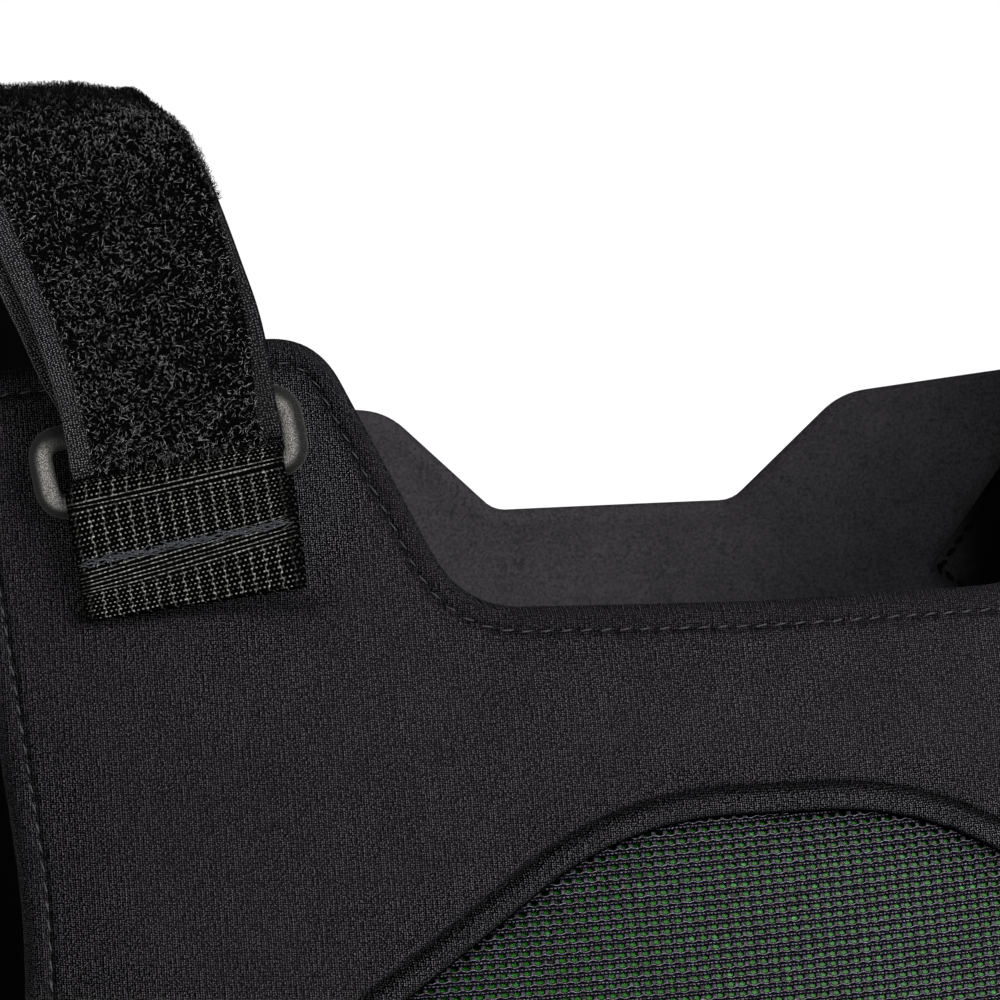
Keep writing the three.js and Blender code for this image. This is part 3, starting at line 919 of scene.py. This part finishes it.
def roundBar(bar, thickness, side, steps, slack=0.0):
    radius = ringSet.depth / 2 + 2 * touch + thickness / 2
    angle = np.linspace(0, pi, steps)[:, None]
    return bar - radius * np.cos(angle) * hold.out + side * (radius + slack) * np.sin(angle) * hold.up


def bandFrames(centres, across):
    ends = centres[1:2] - centres[:1], centres[-1:] - centres[-2:-1]
    along = unit(np.vstack([ends[0], centres[2:] - centres[:-2], ends[1]]))
    level = unit(across - (across * along).sum(1, keepdims=True) * along)
    return along, level, np.cross(along, level)


def evenSteps(centres, across, step):
    run = runAlong(centres)
    at = np.linspace(0, run[-1], int(round(run[-1] / step)) + 1)
    spread = lambda v: np.stack([np.interp(at, run, v[:, k]) for k in range(3)], 1)
    return spread(centres), spread(across), run[-1]


def layBand(name, centres, across, width, thickness, columns, relief=None, rounded=False):
    # a flat grid laid along a path, then given its thickness
    _, level, out = bandFrames(centres, across)
    bpy.ops.mesh.primitive_grid_add(x_subdivisions=columns, y_subdivisions=len(centres) - 1, size=1)
    band = bpy.context.object
    band.name = band.data.name = name
    places = pointsOf(band)
    u = places[:, 0]
    row = np.round((places[:, 1] + 0.5) * (len(centres) - 1)).astype(int)
    points = centres[row] + level[row] * (u * np.broadcast_to(width, len(centres))[row])[:, None]
    if relief is not None:
        points = points + out[row] * relief(u, row)[:, None]
    movePoints(band, points)
    band.data.update()
    applyModifier(band, "SOLIDIFY", thickness=thickness * mm, offset=0)
    faceOutwards(band)
    if rounded:
        applyModifier(band, "BEVEL", width=0.5 * mm, segments=2, limit_method="ANGLE")
    return band


# webbing tab: folded over the ring's lower bar, its two ends sewn to the panel
def tabStations(s):
    slope = (frontFace(s.lowX + 1, s.lowZ) - frontFace(s.lowX - 1, s.lowZ)) / 2
    flatAcross = np.array((cos(s.lowTilt), slope, sin(s.lowTilt)))
    behind = 2 * touch + s.thickness / 2
    ends = [offFace(frontFace, s.lowX, s.lowZ, behind + lift) for lift in (0, s.thickness + touch)]
    fold = roundBar(hold.low + hold.across * s.inSlot, s.thickness, 1, 15)
    centres = np.vstack([ends[:1], fold, ends[1:]])
    across = np.vstack([flatAcross, np.repeat(hold.across[None], len(fold), 0), flatAcross])
    return evenSteps(centres, across, 0.5)


def makeTab(name, s):
    centres, across, length = tabStations(s)
    rough = rng.normal(0, 1, len(centres))
    ripple = lambda u, row: 0.05 * np.sin(row * 1.81) + 0.06 * rough[row] * np.abs(u)
    tab = layBand(name, centres, across, s.width, s.thickness - 0.2, 60, ripple)
    return tab, (centres, *bandFrames(centres, across)[1:]), length


rng = np.random.default_rng(7)
tab, tabPath, tabLength = makeTab("ring_tab_right_webbing", tabSet)
webbing = makeMaterial("ribbed_webbing", webbingRecipe, tabSet.width, tabLength, bump=0.6, depth=0.0003)
keepPair(tab, "webbing", webbing, node="ring_tab_right")
print("rings and tabs made")

# strap: from the back panel over the shoulder, round the ring and back over itself
strapSet = Settings(
    width=40.8, thickness=2.4, layerGap=1.0, joinedFrom=0.22, freeEnd=0.66, underDrift=3.2, overDrift=1.3,
    inSlot=1.2, pullIn=0.9, slack=2.6, droop=1.7, anchor=1.2,
    arch=[
        (-109.1, -56, -38, -17), (-116.8, -50.5, -16, -13), (-123, -34, -2.5, -6),
        (-125.2, -4, 2.55, 0), (-123, 22, -3.5, 5), (-118.5, 36.5, -22, 9),
    ],
    hornTop=(-114, -54, 12),
    sewnEnd=(-112, -94, 13),
)


def archCurve(points, u):
    # a smooth curve through points, its pace set by the root of their distances
    padded = np.vstack([2 * points[0] - points[1], points, 2 * points[-1] - points[-2]])
    place = u * (len(points) - 1)
    i = min(int(place), len(points) - 2)
    t = place - i
    p0, p1, p2, p3 = padded[i : i + 4]
    d0, d1, d2 = (sqrt(norm(b - a)) for a, b in ((p0, p1), (p1, p2), (p2, p3)))
    start = ((p1 - p0) / d0 - (p2 - p0) / (d0 + d1) + (p2 - p1) / d1) * d1
    end = ((p2 - p1) / d1 - (p3 - p1) / (d1 + d2) + (p3 - p2) / d2) * d1
    return p1 + start * t + (3 * (p2 - p1) - 2 * start - end) * t**2 + (2 * (p1 - p2) + start + end) * t**3


def strapPath(s):
    bar = hold.high + hold.across * s.inSlot
    lift = 2 * touch + s.anchor + s.thickness + s.layerGap / 2
    rows = [(*bar, degrees(atan2(hold.across[1], hold.across[0])))] + s.arch
    for x, z, yaw in (s.hornTop, s.sewnEnd):
        rows.append((x, offFace(backFace, x, z, lift)[1], z, yaw))
    rows = np.array(rows)
    close = (s.thickness + s.layerGap) / 2
    apart = ringSet.depth / 2 + 2 * touch + s.thickness / 2

    def station(u, side):
        yaw = radians(np.interp(u * (len(rows) - 1), np.arange(len(rows)), rows[:, 3]))
        ahead, behind = archCurve(rows[:, :3], min(u + 1e-3, 1)), archCurve(rows[:, :3], max(u - 1e-3, 0))
        along = unit(ahead - behind)
        across = np.array((cos(yaw), sin(yaw), 0))
        across = unit(across - across.dot(along) * along)
        out = np.cross(across, along)
        spread = apart + (close - apart) * smooth(u, 0, s.joinedFrom)
        if side < 0:
            drift = s.underDrift * smooth(u, 0, 0.15) * (1 - smooth(u, 0.4, 0.7))
        else:
            drift = -s.overDrift * smooth(u, 0.16, 0.02)
        return archCurve(rows[:, :3], u) + out * side * spread - across * drift, across

    under = [station(u, -1) for u in np.linspace(1, 0.02, 60)]
    over = [station(u, 1) for u in np.linspace(0.02, s.freeEnd, 60)]
    steps = 25
    turned = roundBar(bar, s.thickness, -1, steps, s.slack)
    shift = [hold.across * s.overDrift * smooth(i, 0, steps - 1) for i in range(steps)]
    fold = [(p + by, hold.across) for p, by in zip(turned, shift)]
    whole = under + fold + over
    return np.array([c for c, _ in whole]), np.array([a for _, a in whole]), len(under) + steps // 2


strapLine, strapLevel, foldPoint = strapPath(strapSet)
foldAt = norm(np.diff(strapLine[: foldPoint + 1], axis=0), axis=1).sum()
strapCentres, strapAcross, strapLength = evenSteps(strapLine, strapLevel, 1.6)
print("strap turns at", round(foldAt, 1), "of", round(strapLength, 1), "mm")
tape = makeMaterial("strap_ground", tapeRecipe, strapLength, foldAt, bump=0.6, depth=0.0003)


def strapDroop(u, row):  # how far the edges hang over the shoulder's crest
    fromRing = np.abs(row / (len(strapCentres) - 1) * strapLength - foldAt)
    return strapSet.droop * smooth(np.abs(u), 0.2, 0.52) * smooth(fromRing, 45, 75)


def strapWaver(u, row):  # the cloth is never quite flat
    fromRing = row / (len(strapCentres) - 1) * strapLength - foldAt
    ripple = 0.18 * np.sin(row / 11.0 + 3.0 * u) + 0.12 * np.sin(row / 5.3 - 5.0 * u)
    return ripple + strapDroop(u, row) * np.sign(fromRing) * smooth(np.abs(fromRing), 160, 120)


def strapWidths(s):  # drawn in at the ring, and not quite straight along its edges
    run = np.arange(len(strapCentres))
    fromRing = norm(strapCentres - hold.high, axis=1)
    return s.width - s.pullIn * smooth(fromRing, 16, 4) + 0.14 * np.sin(run / 2.9) + 0.1 * np.sin(run / 6.7)


strapSize = strapWidths(strapSet), strapSet.thickness - 0.6
strap = layBand("shoulder_strap_right_tape", strapCentres, strapAcross, *strapSize, 26, strapWaver, True)
keepPair(strap, "pile", tape, node="shoulder_strap_right")

pileLoops = Settings(count=32600, radius=0.036, height=(0.4, 2.0), reach=(0.5, 2.1), edge=0.2, past=0.7)


def makePile(name, s):
    # short curled threads on the outer face, each closed and drawn out to a point at both ends
    along, level, out = bandFrames(strapCentres, strapAcross)
    count = s.count
    fromRing = rng.random(count) * (strapLength - foldAt + s.past)
    row = (foldAt + fromRing) / strapLength * (len(strapCentres) - 1)
    half, border = strapSet.width / 2, selvedgeSet.border
    # the pile spreads to the inner edge over the shoulder
    inner = border * np.clip(1 - fromRing / selvedgeSet.narrows, 0.02, 1)
    u = -half + border + rng.random(count) * (2 * half - border - inner)
    fringe = (rng.random(count) < s.edge) & (fromRing > 0.85 * selvedgeSet.narrows)
    u[fringe] = half - 0.9 * rng.random(fringe.sum())
    first = np.clip(row.astype(int), 0, len(strapCentres) - 2)
    part = (row - first)[:, None]
    mix = lambda v: v[first] * (1 - part) + v[first + 1] * part
    centre, tangent, side, up = mix(strapCentres), unit(mix(along)), unit(mix(level)), -unit(mix(out))
    ground = strapSet.thickness / 2 - 0.35 - strapDroop(u / strapSet.width, row)
    base = centre + side * u[:, None] + up * ground[:, None]
    turn = rng.random(count) * 2 * pi
    lean = tangent * np.cos(turn)[:, None] + side * np.sin(turn)[:, None]
    bend = tangent * -np.sin(turn)[:, None] + side * np.cos(turn)[:, None]
    mostlyLow = lambda low, high: (low + (high - low) * rng.random(count) ** 2)[:, None]
    reach, height = mostlyLow(*s.reach), mostlyLow(*s.height)
    curl = rng.uniform(-0.5, 0.5, count)[:, None]
    spill = side * (smooth(u, half - 1.4, half) * rng.uniform(0.1, 0.8, count))[:, None]
    start = base - lean * reach / 2
    bow = base + up * height + bend * curl + spill
    end = base + lean * reach / 2 + up * height * rng.uniform(0.2, 1.0, count)[:, None] + spill
    run = unit(end - start)
    flank = unit(np.cross(run, up + 0.3 * bend))
    face = np.cross(run, flank)
    radius = s.radius * (1 + smooth(u, half - 1.5, half) + 0.7 * smooth(fromRing, 70, 90))[:, None]
    ring = [bow + radius * (flank * cos(a) + face * sin(a)) for a in (0, 2.094, 4.189)]
    points = np.array([start, *ring, end]).transpose(1, 0, 2).reshape(-1, 3)
    faces = np.array([(0, 2, 1), (0, 3, 2), (0, 1, 3), (1, 2, 4), (2, 3, 4), (3, 1, 4)])
    each = len(ring) + 2
    faces = (faces[None] + each * np.arange(count)[:, None, None]).reshape(-1, 3)
    threads = meshObject(name, points, faces.tolist())
    # painted highlight on a random share of the threads, dimmed by painted shade towards the crest and made
    # darker at the outer edge
    glint = rng.random(count) * (1 - 0.4 * smooth(fromRing, 60, 92)) * (1 - 0.3 * smooth(u, half - 2, half))
    store(threads, "glint", np.repeat(glint, each))
    return threads


pile = makePile("shoulder_strap_right_pile", pileLoops)
keepPair(pile, "pile", fibre)
print("straps made, pile of", len(pile.data.polygons), "triangles each")

# patches inside the back panel that the straps are sewn to
anchorSet = Settings(
    corners=[(-90, -120, 6), (-128, -120, 6), (-131, -60.5, 6), (-85.5, -66, 6), (-63.4, -98.6, 1.6)],
    depth=-touch - 1.1, thickness=1.1, fill=5.0,
)
anchor = clothSheet("strap_anchor_right_patch", backFace, anchorSet)
for piece in keepPair(anchor, "lining", patchLining, node="strap_anchor_right"):
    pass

# waist bands
bandSet = Settings(
    width=50.0, thickness=2.2, z=-285.0, frontX=-94.0, backX=-98.0, edgeX=-148.0, bulgeX=-171.0, proud=0.7
)


def bandPath(s):
    proud = s.proud + s.thickness / 2
    outer = sunkFace(backFace, backSet.thickness + proud)
    frontX, backX = np.linspace(s.frontX, s.edgeX, 5), np.linspace(s.edgeX, s.backX, 5)
    points = [offFace(frontFace, x, s.z, proud) for x in frontX]
    points.append(np.array((s.bulgeX, 0, s.z)))
    points += [np.array((x, outer(x, s.z), s.z)) for x in backX]
    points = np.array(points)
    centres = np.array([archCurve(points, u) for u in np.linspace(0, 1, 160)])
    lean = lambda face, x: (face(x, s.z + 1) - face(x, s.z - 1)) / 2
    share = smooth(centres[:, 1], -50, 50)
    tilt = lean(frontFace, centres[:, 0]) * (1 - share) + lean(outer, centres[:, 0]) * share
    return centres, np.stack([0 * tilt, tilt, 0 * tilt + 1], 1)


waistCentres, waistAcross, waistLength = evenSteps(*bandPath(bandSet), 1.5)
elastic = makeMaterial("ribbed_elastic", elasticRecipe, bandSet.width, waistLength, bump=0.7, depth=0.0003)
waistSize = bandSet.width, bandSet.thickness - 0.5
waist = layBand("side_band_right_elastic", waistCentres, waistAcross, *waistSize, 40, rounded=True)
keepPair(waist, "elastic", elastic, node="side_band_right")
print("anchors and waist bands made")


# stitches: one thread lump modelled once and copied along each seam
bpy.ops.mesh.primitive_uv_sphere_add(segments=6, ring_count=5, radius=0.5)
lump = bpy.context.object
lumpPoints = pointsOf(lump)[:, [2, 0, 1]]
lumpFaces = [list(p.vertices) for p in lump.data.polygons]
bpy.data.objects.remove(lump)


def sew(name, places, along, out, s):
    side = unit(np.cross(out, along))
    slant = np.radians(np.broadcast_to(s.slant, len(places)))[:, None]
    run = unit(along * np.cos(slant) + side * np.sin(slant))
    breadth = np.cross(out, run)
    p = lumpPoints * (s.length, s.breadth, s.height)
    points = places[:, None]
    for k, axis in enumerate((run, breadth, out)):
        points = points + p[None, :, k : k + 1] * axis[:, None]
    faces = [[i + k * len(lumpPoints) for i in face] for k in range(len(places)) for face in lumpFaces]
    piece = meshObject(name, points.reshape(-1, 3), faces)
    faceOutwards(piece)
    return piece


seamSet = Settings(pitch=3.6, length=2.3, breadth=0.28, height=0.45, slant=10.0)


def sewHem(name, face, s, depthSide):
    # along the groove of a panel's hem, on one of its faces
    loop, hem = outlineLoop(s.corners, 1.0), s.hem
    inner = loop - loopNormals(loop) * (hem.stitch - 0.2)
    x, z = evenLoop(inner, seamSet.pitch, int).T
    rise = hem.thickness / 2 - 0.55 * hem.groove
    places = onFace(face, x, z, s.thickness / 2 - depthSide * rise)
    out = faceNormal(face, x, z) * depthSide
    keep(sew(name, places, loopRun(places), out, seamSet), "knit", darkThread)


sewHem("front_panel_seam", frontFace, frontSet, 1)
sewHem("back_panel_seam", backFace, backSet, -1)

tabSeam = Settings(
    pitch=2.3, length=3.2, breadth=0.17, height=0.34, strands=(-20, 7, -9, 16, -14, 21), spread=0.36,
    place=0.6, lean=0.04,
)


def sewTab(name, s):
    # thin strands of thread that cross each other, as a seam sewn over twice
    centres, level, out = tabPath
    row = int(len(centres) * (0.5 + 0.5 * s.place))
    down = unit(np.gradient(centres, axis=0)[row])
    width = tabSet.width - 3.0
    at = np.arange(0, width, s.pitch) - width / 2
    line = unit(level[row] - down * s.lean)
    lift = out[row] * (tabSet.thickness / 2 + 0.05)
    strands = []
    for number in range(len(s.strands)):
        shift = at + s.pitch * number / len(s.strands)
        stray = rng.normal(0, s.spread, len(at))[:, None] * down
        strands.append(centres[row] + shift[:, None] * line + stray + lift)
    places = np.vstack(strands)
    run, up = (np.repeat(v[None], len(places), 0) for v in (line, out[row]))
    return sew(name, places, run, up, Settings(s, slant=np.repeat(s.strands, len(at))))


keepPair(sewTab("ring_tab_right_seam", tabSeam), "webbing", paleThread)

patchSeam = Settings(pitch=3, length=2.6, breadth=1.0, height=0.6, slant=14.0, inset=1.5)


def sewPatch(name, s):
    loop = outlineLoop(anchorSet.corners, 1.0)
    x, z = (loop - loopNormals(loop) * s.inset)[:: s.pitch].T
    places = offFace(backFace, x, z, touch + anchorSet.thickness + 0.1)
    return sew(name, places, loopRun(places), faceNormal(backFace, x, z), s)


keepPair(sewPatch("strap_anchor_right_seam", patchSeam), "lining", blackThread)

waistSeam = Settings(pitch=2.6, length=2.2, breadth=0.5, height=0.5, slant=0.0, inset=4.0, side=2.0)


def sewBand(name, s):
    # one row across each end of a waist band, on its outer face
    _, level, out = bandFrames(waistCentres, waistAcross)
    at = np.arange(s.side, bandSet.width - s.side, s.pitch) - bandSet.width / 2
    row = int(s.inset / waistLength * len(waistCentres)) + 1
    ends = []
    for k in (row, len(waistCentres) - 1 - row):
        outer = out[k] * np.sign(out[k][1] * waistCentres[k][1])
        places = waistCentres[k] + at[:, None] * level[k] + outer * (bandSet.thickness / 2 - 0.2)
        ends.append((places, *(np.repeat(v[None], len(at), 0) for v in (level[k], outer))))
    return sew(name, *(np.vstack(v) for v in zip(*ends)), s)


keepPair(sewBand("side_band_right_seam", waistSeam), "elastic", darkThread)
print("seams sewn")


# pale floor just under the guard
def floorRecipe(start):
    cloud = speckle(vector(*objectMm(start)), 0.004)
    return blend(cloud, (0.9,) * 3, (0.93,) * 3), 0.7 + 0.1 * cloud


floorPlace = (0, 0, cadBox[0].z - roomSet.floorDrop)
bpy.ops.mesh.primitive_plane_add(size=roomSet.floorSize, location=floorPlace)
floor = bpy.context.object
floor.name = "floor"
bpy.ops.object.transform_apply()
floor.data.materials.append(makeMaterial("pale_floor", floorRecipe, gloss=0.5))
